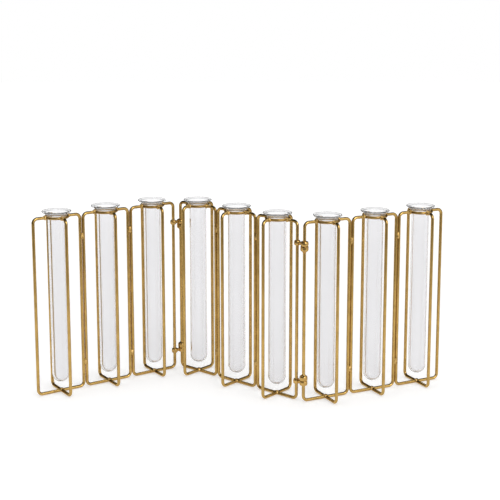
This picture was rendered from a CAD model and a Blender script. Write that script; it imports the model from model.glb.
import math

import bmesh
import bpy
from mathutils import Euler, Matrix, Vector, noise


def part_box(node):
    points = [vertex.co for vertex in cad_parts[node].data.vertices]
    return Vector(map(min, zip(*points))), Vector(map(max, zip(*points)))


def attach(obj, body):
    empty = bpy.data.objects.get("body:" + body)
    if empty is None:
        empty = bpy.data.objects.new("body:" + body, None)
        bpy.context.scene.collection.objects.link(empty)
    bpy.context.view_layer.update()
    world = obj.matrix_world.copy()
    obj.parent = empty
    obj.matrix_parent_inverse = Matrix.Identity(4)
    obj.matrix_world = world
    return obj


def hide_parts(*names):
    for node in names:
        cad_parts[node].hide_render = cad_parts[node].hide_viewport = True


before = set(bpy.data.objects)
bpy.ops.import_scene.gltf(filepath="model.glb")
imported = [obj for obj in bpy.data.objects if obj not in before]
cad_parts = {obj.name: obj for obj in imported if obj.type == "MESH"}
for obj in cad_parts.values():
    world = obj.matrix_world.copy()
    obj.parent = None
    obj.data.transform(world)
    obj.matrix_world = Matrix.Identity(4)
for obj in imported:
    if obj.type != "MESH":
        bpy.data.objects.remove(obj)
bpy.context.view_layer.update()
mm = 0.001
panels = {"left_panel": (1, 2, 3), "middle_panel": (4, 5, 6), "right_panel": (7, 8, 9)}
hinges = {
    "left": {"linkBody": "left_panel", "pinBody": "middle_panel", "lastCage": 3},
    "right": {"linkBody": "middle_panel", "pinBody": "right_panel", "lastCage": 6},
}
levels = ("top", "bottom")
print("frame loaded,", len(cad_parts), "nodes")


def middleOf(node):
    low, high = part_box(node)
    return (low + high) / 2


# where each cage stands, and which way its panel runs
cages = {}
for body, numbers in panels.items():
    middles = {n: middleOf(f"cage_{n}_ring") for n in numbers}
    along = (middles[numbers[-1]] - middles[numbers[0]]).normalized()
    across = Vector((-along.y, along.x, 0))
    for n in numbers:
        cages[n] = {"middle": middles[n], "along": along, "across": across}


def addNode(tree, kind, **values):
    node = tree.nodes.new(kind)
    for key, value in values.items():
        setattr(node, key, value)
    return node


def setInputs(node, **values):
    for key, value in values.items():
        node.inputs[key.replace("_", " ")].default_value = value


# a plain number or colour is set on the socket, and anything else is linked to it
def feed(tree, socket, value):
    if isinstance(value, (int, float, tuple)):
        socket.default_value = value
    else:
        tree.links.new(value, socket)


def mathNode(tree, operation, first, second):
    node = addNode(tree, "ShaderNodeMath", operation=operation)
    feed(tree, node.inputs[0], first)
    feed(tree, node.inputs[1], second)
    return node.outputs[0]


def mixNode(tree, factor, first, second):
    node = addNode(tree, "ShaderNodeMix", data_type="RGBA")
    feed(tree, node.inputs[0], factor)
    feed(tree, node.inputs[6], first)  # the colour sockets of the node
    feed(tree, node.inputs[7], second)
    return node.outputs[2]


def noiseNode(tree, vector, scale, detail, roughness=0.5):
    node = addNode(tree, "ShaderNodeTexNoise")
    setInputs(node, Detail=detail, Roughness=roughness)
    feed(tree, node.inputs["Vector"], vector)
    feed(tree, node.inputs["Scale"], scale)
    return node.outputs["Fac"]


def rangeNode(tree, value, low, high, toLow=0.0, toHigh=1.0):
    node = addNode(tree, "ShaderNodeMapRange", interpolation_type="SMOOTHSTEP")
    feed(tree, node.inputs["Value"], value)
    setInputs(node, From_Min=low, From_Max=high, To_Min=toLow, To_Max=toHigh)
    return node.outputs["Result"]


bumpDepth = 0.0002
brassGrain = {
    "cloudDetail": 4.0, "cloudBreak": 0.6, "cloudRange": (0.34, 0.66), "cloudRough": 0.10,
    "grainScale": 1400.0, "grainDetail": 3.0, "grainRough": 0.12,
    "speckScale": 420.0, "speckDetail": 2.0, "speckRange": (0.60, 0.72), "speckRough": 0.15, "speckPit": 0.5,
}


# a satin brass finish: cloudy tone, fine grain, and small tarnish specks
def makeBrassGroup():
    g = brassGrain
    tree = bpy.data.node_groups.new("satinBrassFinish", "ShaderNodeTree")
    for name, kind in (("Vector", "Vector"), ("Tone", "Color"), ("Shade", "Color"), ("Tarnish", "Color"),
                       ("Cloud Scale", "Float"), ("Gloss", "Float"), ("Speck Amount", "Float")):
        tree.interface.new_socket(name, in_out="INPUT", socket_type="NodeSocket" + kind)
    for name, kind in (("Color", "Color"), ("Roughness", "Float"), ("Height", "Float")):
        tree.interface.new_socket(name, in_out="OUTPUT", socket_type="NodeSocket" + kind)
    given = addNode(tree, "NodeGroupInput").outputs
    put = addNode(tree, "NodeGroupOutput").inputs
    cloud = noiseNode(tree, given["Vector"], given["Cloud Scale"], g["cloudDetail"], g["cloudBreak"])
    grain = noiseNode(tree, given["Vector"], g["grainScale"], g["grainDetail"])
    speck = noiseNode(tree, given["Vector"], g["speckScale"], g["speckDetail"])
    speck = rangeNode(tree, speck, *g["speckRange"])
    speckShare = mathNode(tree, "MULTIPLY", speck, given["Speck Amount"])
    tone = mixNode(tree, rangeNode(tree, cloud, *g["cloudRange"]), given["Tone"], given["Shade"])
    tree.links.new(mixNode(tree, speckShare, tone, given["Tarnish"]), put["Color"])
    rough = given["Gloss"]
    for part, share in ((grain, "grainRough"), (cloud, "cloudRough"), (speckShare, "speckRough")):
        rough = mathNode(tree, "ADD", rough, mathNode(tree, "MULTIPLY", part, g[share]))
    tree.links.new(rough, put["Roughness"])
    pits = mathNode(tree, "SUBTRACT", grain, mathNode(tree, "MULTIPLY", speckShare, g["speckPit"]))
    tree.links.new(pits, put["Height"])
    return tree


brassGroup = makeBrassGroup()
lacquer = {"edgeTint": (1.0, 0.82, 0.55, 1), "roughness": 0.15}


def makeBrass(name, look):
    material = bpy.data.materials.new(name)
    material.use_nodes = True
    tree = material.node_tree
    shader = tree.nodes["Principled BSDF"]
    place = addNode(tree, "ShaderNodeTexCoord")
    finish = addNode(tree, "ShaderNodeGroup", node_tree=brassGroup)
    tree.links.new(place.outputs["Object"], finish.inputs["Vector"])
    setInputs(finish, Tone=look["tone"], Shade=look["shade"], Tarnish=look["tarnish"],
              Cloud_Scale=look["cloudScale"], Gloss=look["gloss"], Speck_Amount=look["specks"])
    bump = addNode(tree, "ShaderNodeBump")
    setInputs(bump, Strength=look["bump"], Distance=bumpDepth)
    tree.links.new(finish.outputs["Height"], bump.inputs["Height"])
    tree.links.new(finish.outputs["Color"], shader.inputs["Base Color"])
    tree.links.new(finish.outputs["Roughness"], shader.inputs["Roughness"])
    tree.links.new(bump.outputs["Normal"], shader.inputs["Normal"])
    # a thin clear lacquer, over metal that stays warm at its edges
    setInputs(shader, Metallic=1.0, Specular_Tint=lacquer["edgeTint"],
              Coat_Weight=look["coat"], Coat_Roughness=lacquer["roughness"])
    return material


wireLook = {
    "tone": (0.61, 0.395, 0.120, 1), "shade": (0.50, 0.316, 0.089, 1), "tarnish": (0.28, 0.155, 0.043, 1),
    "cloudScale": 70.0, "gloss": 0.10, "specks": 0.35, "bump": 0.12, "coat": 0.3,
}
ringLook = {
    "tone": (0.465, 0.292, 0.090, 1), "shade": (0.333, 0.199, 0.058, 1), "tarnish": (0.16, 0.087, 0.024, 1),
    "cloudScale": 110.0, "gloss": 0.2, "specks": 0.5, "bump": 0.15, "coat": 0.3,
}
weldLook = {
    "tone": (0.73, 0.48, 0.168, 1), "shade": (0.455, 0.272, 0.074, 1), "tarnish": (0.20, 0.116, 0.035, 1),
    "cloudScale": 260.0, "gloss": 0.2, "specks": 0.7, "bump": 0.3, "coat": 0.3,
}
hingeLook = {
    "tone": (0.69, 0.443, 0.141, 1), "shade": (0.535, 0.326, 0.094, 1), "tarnish": (0.25, 0.136, 0.035, 1),
    "cloudScale": 130.0, "gloss": 0.08, "specks": 0.45, "bump": 0.15, "coat": 0.3,
}
wireBrass = makeBrass("wireBrass", wireLook)
ringBrass = makeBrass("ringBrass", ringLook)
weldBrass = makeBrass("weldBrass", weldLook)
hingeBrass = makeBrass("hingeBrass", hingeLook)

# the body of a tube, its neck, and its lip, which is paler
glassLook = {"tint": (0.887, 0.884, 0.893, 1), "clear": 1.0, "ior": 1.4, "density": 26.0}
neckLook = {"tint": (0.915, 0.915, 0.92, 1), "clear": 0.9, "ior": 1.06, "density": 10.0}
lipLook = {"tint": (0.83, 0.83, 0.835, 1), "clear": 0.78, "ior": 1.2, "density": 10.0}
glassMarks = {
    "absorb": (0.83, 0.84, 0.845, 1), "drawnScale": (260.0, 260.0, 9.0), "drawnDetail": 2.0, "drawnBump": 0.05,
    "filmScale": 90.0, "filmDetail": 3.0, "filmRange": (0.35, 0.75), "filmRough": (0.0, 0.05),
}


def makeGlass(name, look):
    g = glassMarks
    material = bpy.data.materials.new(name)
    material.use_nodes = True
    tree = material.node_tree
    shader = tree.nodes["Principled BSDF"]
    setInputs(shader, Base_Color=look["tint"], IOR=look["ior"], Transmission_Weight=look["clear"])
    place = addNode(tree, "ShaderNodeTexCoord")
    drawn = addNode(tree, "ShaderNodeMapping")  # faint lines along the tube, from drawing the glass
    setInputs(drawn, Scale=g["drawnScale"])
    tree.links.new(place.outputs["Object"], drawn.inputs["Vector"])
    lines = noiseNode(tree, drawn.outputs["Vector"], 1.0, g["drawnDetail"])
    bump = addNode(tree, "ShaderNodeBump")
    setInputs(bump, Strength=g["drawnBump"], Distance=bumpDepth)
    tree.links.new(lines, bump.inputs["Height"])
    tree.links.new(bump.outputs["Normal"], shader.inputs["Normal"])
    film = noiseNode(tree, place.outputs["Object"], g["filmScale"], g["filmDetail"])
    tree.links.new(rangeNode(tree, film, *g["filmRange"], *g["filmRough"]), shader.inputs["Roughness"])
    soak = addNode(tree, "ShaderNodeVolumeAbsorption")
    setInputs(soak, Color=g["absorb"], Density=look["density"])
    tree.links.new(soak.outputs["Volume"], tree.nodes["Material Output"].inputs["Volume"])
    return material


tubeGlass = makeGlass("tubeGlass", glassLook)
neckGlass = makeGlass("neckGlass", neckLook)
lipGlass = makeGlass("lipGlass", lipLook)
print("materials made")


def makeObject(name, bm, *materials):
    mesh = bpy.data.meshes.new(name)
    bm.to_mesh(mesh)
    bm.free()
    for material in materials:
        mesh.materials.append(material)
    thing = bpy.data.objects.new(name, mesh)
    bpy.context.scene.collection.objects.link(thing)
    return thing


def makePiece(name, bm, materials, body, replaced=()):
    piece = makeObject(name, bm, *materials)
    piece.data.shade_smooth()
    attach(piece, body)
    if replaced:
        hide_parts(*replaced)


# a point of a profile in the XZ plane, from millimetres
def at(x, z):
    return (x * mm, 0, z * mm)


def lastVert(swept):
    return [g for g in swept["geom_last"] if isinstance(g, bmesh.types.BMVert)][0]


# sweeps one vertex round a centre in the XZ plane, as an arc of edges
def arc(bm, vert, centre, angle, steps):
    return lastVert(bmesh.ops.spin(bm, geom=[vert], cent=centre, axis=(0, 1, 0), angle=angle, steps=steps))


# sweeps one vertex to a target, as a straight row of edges
def line(bm, vert, target, steps):
    step = (Vector(target) - vert.co) / steps
    return lastVert(bmesh.ops.spin(bm, geom=[vert], cent=(0, 0, 0), axis=(0, 1, 0), dvec=step, angle=0,
                                   steps=steps))


# puts a finished part of a piece into the piece
def joinInto(bm, part):
    mesh = bpy.data.meshes.new("part")
    part.to_mesh(mesh)
    part.free()
    bm.from_mesh(mesh)
    bpy.data.meshes.remove(mesh)


mergeGap = 1e-6


# turns a profile in the XZ plane into a closed round body
def turnRound(bm, steps):
    bmesh.ops.spin(bm, geom=bm.verts[:] + bm.edges[:], cent=(0, 0, 0), axis=(0, 0, 1),
                   angle=2 * math.pi, steps=steps, use_merge=True)
    bmesh.ops.remove_doubles(bm, verts=bm.verts, dist=mergeGap)
    bmesh.ops.recalc_face_normals(bm, faces=bm.faces)


tubeShape = {
    "radius": 9.75, "wall": 1.2, "bowlZ": 21.85, "bowlLift": 0.3,
    "flareR": 9.0, "flareX": 18.75, "flareZ": 198.176, "lipX": 15.45, "lipZ": 207.37, "lipR": 0.8,
    "neckFrom": 200.0, "lipFrom": 206.0,
    "bowlSteps": 16, "wallSteps": 36, "flareSteps": 14, "lipSteps": 16, "steps": 96,
    "wave": 0.05, "waveRound": 0.6, "waveAlong": 22, "waveSeed": 5.3,
}


def makeTube(n):
    s = tubeShape
    inner = s["radius"] - s["wall"]
    innerFlare = s["flareR"] + s["wall"]
    innerBowl = s["bowlZ"] + s["bowlLift"]
    flare = Vector((s["flareX"], 0, s["flareZ"])) * mm
    lip = Vector((s["lipX"], 0, s["lipZ"])) * mm
    reach = (lip - flare).length
    lipTurn = math.acos((flare.x - lip.x) / reach)

    # how far a wall of the flare turns before it meets the round lip
    def flareTurn(radius):
        r = radius * mm
        return lipTurn - math.acos((r * r + reach * reach - (s["lipR"] * mm) ** 2) / (2 * r * reach))

    innerTurn = flareTurn(innerFlare)
    bm = bmesh.new()
    vert = bm.verts.new(at(0, s["bowlZ"] - s["radius"]))
    vert = arc(bm, vert, at(0, s["bowlZ"]), -math.pi / 2, s["bowlSteps"])
    vert = line(bm, vert, (vert.co.x, 0, flare.z), s["wallSteps"])
    vert = arc(bm, vert, flare, flareTurn(s["flareR"]), s["flareSteps"])
    start = vert.co - lip
    end = flare + innerFlare * mm * Vector((-math.cos(innerTurn), 0, math.sin(innerTurn))) - lip
    sweep = (math.atan2(end.z, end.x) - math.atan2(start.z, start.x)) % (2 * math.pi)
    vert = arc(bm, vert, lip, -sweep, s["lipSteps"])
    vert = arc(bm, vert, flare, -innerTurn, s["flareSteps"])
    vert = line(bm, vert, at(inner, innerBowl), s["wallSteps"])
    arc(bm, vert, at(0, innerBowl), math.pi / 2, s["bowlSteps"])
    turnRound(bm, s["steps"])
    # drawn glass is never quite true
    for vert in bm.verts:
        turn = math.atan2(vert.co.y, vert.co.x)
        lump = noise.noise(Vector((math.cos(turn) * s["waveRound"], math.sin(turn) * s["waveRound"],
                                   vert.co.z * s["waveAlong"] + n * s["waveSeed"])))
        swell = 1 + lump * s["wave"] / s["radius"]
        vert.co.x *= swell
        vert.co.y *= swell
    for face in bm.faces:
        height = face.calc_center_median().z / mm
        face.material_index = int(height > s["neckFrom"]) + int(height > s["lipFrom"])
    middle = cages[n]["middle"]
    bmesh.ops.translate(bm, verts=bm.verts, vec=(middle.x, middle.y, 0))
    makePiece(f"test_tube_{n}", bm, (tubeGlass, neckGlass, lipGlass), f"tube_{n}", (f"glass_tube_{n}",))


for n in cages:
    makeTube(n)
print("tubes made")

# the wires and rings keep the shape of their solids
for n in cages:
    for part in ("long_wire", "cross_wire", "ring"):
        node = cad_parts[f"cage_{n}_{part}"]
        node.data.materials.clear()
        node.data.materials.append(ringBrass if part == "ring" else wireBrass)
print("wires and rings finished")

lumpShape = {"subdivisions": 4, "coarse": 1.6, "fine": 4.0, "fineShare": 0.5, "seedSteps": (3.7, 1.3, 2.1)}


# a lump of weld metal: a ball that is stretched, roughened, turned and put in place
def addLump(bm, shape, place, along, seed, floor=None):
    s = lumpShape
    rough = shape["rough"]
    ball = bmesh.ops.create_icosphere(bm, subdivisions=s["subdivisions"], radius=1.0)["verts"]
    across = Vector((-along.y, along.x, 0))
    turn = Matrix((along, across, Vector((0, 0, 1)))).transposed()
    offset = Vector([seed * step for step in s["seedSteps"]])
    for vert in ball:
        swell = (1 + rough * noise.noise(vert.co * s["coarse"] + offset)
                 + s["fineShare"] * rough * noise.noise(vert.co * s["fine"] - offset))
        vert.co = place + turn @ (Vector(shape["size"]) * mm * swell * vert.co)
        if floor is not None:
            vert.co.z = max(vert.co.z, floor)


grooveWeldShape = {"size": (2.1, 1.4, 3.5), "rough": 0.3, "out": 1.2, "fromEnd": 3, "seedUp": 31, "seedSide": 0.7}
barWeldShape = {"size": (3.3, 3.3, 2.3), "rough": 0.16, "z": 2.3, "floor": 0.1, "seed": 1.7}
ringWeldShape = {"size": (2.2, 2.6, 2.5), "rough": 0.12, "reach": 14.05, "seed": 2.3}


# two beads on each side of the groove between the uprights of neighbouring cages
def makeGrooveWelds(body, numbers):
    s = grooveWeldShape
    low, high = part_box(f"{body}_welds")
    bm = bmesh.new()
    for n in numbers[:-1]:
        here, there = cages[n], cages[n + 1]
        pair = (here["middle"] + there["middle"]) / 2
        for z in (low.z + s["fromEnd"] * mm, high.z - s["fromEnd"] * mm):
            for side in (-1, 1):
                place = Vector((pair.x, pair.y, z)) + here["across"] * side * s["out"] * mm
                addLump(bm, s, place, here["along"], n + z * s["seedUp"] + side * s["seedSide"])
    makePiece(f"{body}_groove_welds", bm, (weldBrass,), body, (f"{body}_welds",))


# a lump where the two bottom bars of a cage cross
def makeBarWelds(body, numbers):
    s = barWeldShape
    bm = bmesh.new()
    for n in numbers:
        place = Vector((cages[n]["middle"].x, cages[n]["middle"].y, s["z"] * mm))
        addLump(bm, s, place, cages[n]["along"], n * s["seed"], s["floor"] * mm)
    makePiece(f"{body}_bar_welds", bm, (weldBrass,), body)


# a lump where each of a cage's four arms meets the ring
def makeRingWelds(body, numbers):
    s = ringWeldShape
    bm = bmesh.new()
    for n in numbers:
        for quarter in range(4):
            out = Matrix.Rotation(quarter * math.pi / 2, 3, "Z") @ cages[n]["along"]
            addLump(bm, s, cages[n]["middle"] + out * s["reach"] * mm, out, n * s["seed"] + quarter)
    makePiece(f"{body}_ring_welds", bm, (weldBrass,), body)


for body, numbers in panels.items():
    makeGrooveWelds(body, numbers)
    makeBarWelds(body, numbers)
    makeRingWelds(body, numbers)
print("welds made")

linkShape = {
    "apart": 10.0, "half": 2.5, "edge": 0.2,
    "loose": {"bore": 2.05, "rim": 3.9, "belly": 4.44},
    "tight": {"bore": 1.75, "rim": 3.0, "belly": 3.55},
    "endSteps": 2, "bellySteps": 14, "boreSteps": 3, "steps": 48,
    "webSize": (5.0, 2.4, 3.4), "webEdge": 0.5, "webEdgeSteps": 3,
}


# a barrel with flat ends, round the upright
def addBarrel(bm, shape, place):
    s = linkShape
    half, edge = s["half"], s["edge"]
    bore, rim, belly = shape["bore"], shape["rim"], shape["belly"]
    swell = belly - rim
    bow = (half * half + swell * swell) / (2 * swell)  # radius of the belly's curve
    barrel = bmesh.new()
    start = barrel.verts.new(at(bore, half - edge))
    vert = line(barrel, start, at(bore + edge, half), 1)
    vert = line(barrel, vert, at(rim, half), s["endSteps"])
    vert = arc(barrel, vert, at(belly - bow, 0), 2 * math.asin(half / bow), s["bellySteps"])
    vert = line(barrel, vert, at(bore + edge, -half), s["endSteps"])
    vert = line(barrel, vert, at(bore, edge - half), 1)
    line(barrel, vert, start.co, s["boreSteps"])
    turnRound(barrel, s["steps"])
    bmesh.ops.translate(barrel, verts=barrel.verts, vec=place)
    joinInto(bm, barrel)


# the loose eye on the pin upright, the tight eye beside it, and the web between them
def makeLink(side, level):
    s = linkShape
    node = f"{side}_hinge_{level}_link"
    pin = middleOf(f"{side}_hinge_{level}_collar")
    pin.z = middleOf(node).z
    along = cages[hinges[side]["lastCage"]]["along"]
    tight = pin - along * s["apart"] * mm
    bm = bmesh.new()
    addBarrel(bm, s["loose"], pin)
    addBarrel(bm, s["tight"], tight)
    web = bmesh.new()
    bmesh.ops.create_cube(web, size=1.0)
    bmesh.ops.scale(web, verts=web.verts, vec=Vector(s["webSize"]) * mm)
    bmesh.ops.bevel(web, geom=web.edges[:], offset=s["webEdge"] * mm, affect="EDGES",
                    segments=s["webEdgeSteps"], profile=0.5, material=-1)
    turn = Matrix.Rotation(math.atan2(along.y, along.x), 3, "Z")
    bmesh.ops.rotate(web, verts=web.verts, cent=(0, 0, 0), matrix=turn)
    bmesh.ops.translate(web, verts=web.verts, vec=(pin + tight) / 2)
    joinInto(bm, web)
    makePiece(f"{side}_{level}_hinge_eyes", bm, (hingeBrass,), hinges[side]["linkBody"], (node,))


collarShape = {
    "bore": 1.75, "radius": 4.44, "height": 5.6, "dome": 2.4, "domeTurn": 70, "edge": 0.3,
    "fillet": 1.6, "filletOut": 0.35, "filletDown": 0.4,
    "endSteps": 3, "edgeSteps": 6, "wallSteps": 4, "domeSteps": 8, "filletSteps": 3, "boreSteps": 4, "steps": 48,
}


# a stop collar, flat towards its eye, with a dome that runs out along the upright
def makeCollar(side, level):
    s = collarShape
    node = f"{side}_hinge_{level}_collar"
    half = s["height"] / 2
    flat = s["radius"] - s["edge"]
    domeZ = s["dome"] - half
    bm = bmesh.new()
    start = bm.verts.new(at(s["bore"], half))
    vert = line(bm, start, at(flat, half), s["endSteps"])
    vert = arc(bm, vert, at(flat, half - s["edge"]), math.pi / 2, s["edgeSteps"])
    vert = line(bm, vert, at(s["radius"], domeZ), s["wallSteps"])
    vert = arc(bm, vert, at(s["radius"] - s["dome"], domeZ), math.radians(s["domeTurn"]), s["domeSteps"])
    vert = line(bm, vert, at(s["bore"] + s["filletOut"], -(half + s["filletDown"] * s["fillet"])), s["filletSteps"])
    vert = line(bm, vert, at(s["bore"], -(half + s["fillet"])), s["filletSteps"])
    line(bm, vert, start.co, s["boreSteps"])
    turnRound(bm, s["steps"])
    turn = Matrix.Rotation(0 if level == "top" else math.pi, 3, "X")
    bmesh.ops.rotate(bm, verts=bm.verts, cent=(0, 0, 0), matrix=turn)
    bmesh.ops.translate(bm, verts=bm.verts, vec=middleOf(node))
    makePiece(f"{side}_{level}_stop_collar", bm, (hingeBrass,), hinges[side]["pinBody"], (node,))


for side in hinges:
    for level in levels:
        makeLink(side, level)
        makeCollar(side, level)
print("hinges made")


def bareMaterial(name):
    material = bpy.data.materials.new(name)
    material.use_nodes = True
    tree = material.node_tree
    tree.nodes.remove(tree.nodes["Principled BSDF"])
    return material, tree, tree.nodes["Material Output"].inputs["Surface"]


floorLook = {
    "size": 8.0, "z": -0.0003, "color": (0.72, 0.72, 0.72, 1),
    "glow": 0.46, "farGlow": 0.46, "farRange": (0.3, 2.2),
    "sheetEdge": (0.02, 0.18), "sheetFade": (-0.80, -0.16), "mirrorNear": 0.34, "mirrorFar": -0.45,
    "backEdge": (0.08, 0.26), "mirrorBack": 0.2,
}


# a pale floor: white to the camera, with the object's shadow, and lit sheets of paper to what mirrors it
def makeFloor():
    s = floorLook
    bm = bmesh.new()
    bmesh.ops.create_grid(bm, x_segments=1, y_segments=1, size=s["size"] / 2)
    bmesh.ops.translate(bm, verts=bm.verts, vec=(0, 0, s["z"]))
    material, tree, surface = bareMaterial("paleFloor")
    path = addNode(tree, "ShaderNodeLightPath").outputs
    place = addNode(tree, "ShaderNodeTexCoord").outputs["Object"]
    away = addNode(tree, "ShaderNodeVectorMath", operation="LENGTH")
    tree.links.new(place, away.inputs[0])
    far = rangeNode(tree, away.outputs["Value"], *s["farRange"], s["glow"], s["glow"] + s["farGlow"])
    split = addNode(tree, "ShaderNodeSeparateXYZ")
    tree.links.new(place, split.inputs[0])
    depth = split.outputs["Y"]
    # one mirrored sheet lies in front of the vase and fades towards the camera, and one lies behind it
    sheet = mathNode(tree, "MULTIPLY", rangeNode(tree, depth, *s["sheetEdge"], 1.0, 0.0),
                     rangeNode(tree, depth, *s["sheetFade"]))
    sheet = rangeNode(tree, sheet, 0.0, 1.0, s["mirrorFar"], s["mirrorNear"])
    behind = rangeNode(tree, depth, *s["backEdge"], 0.0, s["mirrorBack"] - s["mirrorFar"])
    sheet = mathNode(tree, "ADD", sheet, behind)
    seen = mathNode(tree, "MAXIMUM", path["Is Camera Ray"], path["Is Transmission Ray"])
    mirrored = mathNode(tree, "SUBTRACT", path["Is Glossy Ray"], path["Is Transmission Ray"])
    glowing = mathNode(tree, "ADD", mathNode(tree, "MULTIPLY", far, seen),
                       mathNode(tree, "MULTIPLY", sheet, mirrored))
    paper = addNode(tree, "ShaderNodeBsdfDiffuse")
    setInputs(paper, Color=s["color"])
    glow = addNode(tree, "ShaderNodeEmission")
    tree.links.new(glowing, glow.inputs["Strength"])
    both = addNode(tree, "ShaderNodeAddShader")
    tree.links.new(paper.outputs[0], both.inputs[0])
    tree.links.new(glow.outputs[0], both.inputs[1])
    tree.links.new(both.outputs[0], surface)
    makeObject("floor", bm, material)


flagLook = {
    "radius": 3.0, "segments": 48, "rings": 24, "dark": 0.05, "front": 0.25, "frontEdge": (-0.9, -0.1),
    "boxWay": (0.785, -0.453, 0.423), "boxEdge": (0.6, 0.97), "box": 1.1,
}


# dark flags all round, which only reflections see, so that the metal and the glass get their edges
def makeFlags():
    s = flagLook
    bm = bmesh.new()
    bmesh.ops.create_uvsphere(bm, u_segments=s["segments"], v_segments=s["rings"], radius=s["radius"])
    bmesh.ops.reverse_faces(bm, faces=bm.faces)
    material, tree, surface = bareMaterial("darkFlags")
    place = addNode(tree, "ShaderNodeTexCoord").outputs["Object"]
    way = addNode(tree, "ShaderNodeVectorMath", operation="NORMALIZE")
    tree.links.new(place, way.inputs[0])
    split = addNode(tree, "ShaderNodeSeparateXYZ")
    tree.links.new(way.outputs["Vector"], split.inputs[0])
    front = rangeNode(tree, split.outputs["Y"], *s["frontEdge"], s["dark"] + s["front"], s["dark"])
    toBox = addNode(tree, "ShaderNodeVectorMath", operation="DOT_PRODUCT")  # a soft box in the flags
    toBox.inputs[1].default_value = s["boxWay"]
    tree.links.new(way.outputs["Vector"], toBox.inputs[0])
    box = rangeNode(tree, toBox.outputs["Value"], *s["boxEdge"], 0.0, s["box"])
    glow = addNode(tree, "ShaderNodeEmission")
    tree.links.new(mathNode(tree, "ADD", front, box), glow.inputs["Strength"])
    tree.links.new(glow.outputs[0], surface)
    flags = makeObject("flags", bm, material)
    flags.visible_camera = flags.visible_diffuse = flags.visible_transmission = flags.visible_shadow = False


worldLook = {"color": (1, 1, 1, 1), "ambient": 0.45, "seen": 1.0}


def makeWorld():
    world = bpy.data.worlds.new("studio")
    bpy.context.scene.world = world
    world.use_nodes = True
    tree = world.node_tree
    path = addNode(tree, "ShaderNodeLightPath").outputs
    seen = mathNode(tree, "MAXIMUM", path["Is Camera Ray"],
                    mathNode(tree, "MAXIMUM", path["Is Glossy Ray"], path["Is Transmission Ray"]))
    back = tree.nodes["Background"]
    setInputs(back, Color=worldLook["color"])
    strength = rangeNode(tree, seen, 0.0, 1.0, worldLook["ambient"], worldLook["seen"])
    tree.links.new(strength, back.inputs["Strength"])


lampAim = (0, 0, 0.1)
lamps = {
    "keyLamp": {"place": (0.9, -1.3, 1.15), "size": (0.9, 0.9), "power": 10.0, "mirrored": True},
    "fillLamp": {"place": (-1.2, -1.2, 0.8), "size": (0.8, 1.0), "power": 5.0, "mirrored": False},
    "topLamp": {"place": (0.0, 0.3, 1.6), "size": (1.6, 1.0), "power": 8.0, "mirrored": False},
}


def makeLamps():
    for name, look in lamps.items():
        light = bpy.data.lights.new(name, "AREA")
        light.shape = "RECTANGLE"
        light.size, light.size_y = look["size"]
        light.energy = look["power"]
        lamp = bpy.data.objects.new(name, light)
        lamp.location = look["place"]
        lamp.visible_glossy = look["mirrored"]
        lamp.rotation_euler = (Vector(lampAim) - lamp.location).to_track_quat("-Z", "Y").to_euler()
        bpy.context.scene.collection.objects.link(lamp)


# the place in millimetres, the turns in degrees
cameraLook = {
    "place": (11.24, -1310.48, 459.14), "yaw": -0.075, "pitch": 10.062, "roll": -0.016,
    "sensor": 36, "lens": 85.921, "shift": -0.12,
}


def makeCamera():
    s = cameraLook
    data = bpy.data.cameras.new("camera")
    data.sensor_width = s["sensor"]
    data.lens = s["lens"]
    data.shift_y = s["shift"]
    camera = bpy.data.objects.new("camera", data)
    aim = Euler((math.radians(90 - s["pitch"]), 0, math.radians(-s["yaw"]))).to_matrix()
    turn = aim @ Matrix.Rotation(math.radians(s["roll"]), 3, "Z")
    camera.matrix_world = Matrix.Translation(Vector(s["place"]) * mm) @ turn.to_4x4()
    bpy.context.scene.collection.objects.link(camera)
    bpy.context.scene.camera = camera


makeFloor()
makeFlags()
makeWorld()
makeLamps()
makeCamera()
bpy.context.scene.view_settings.view_transform = "Standard"
print("stage made")
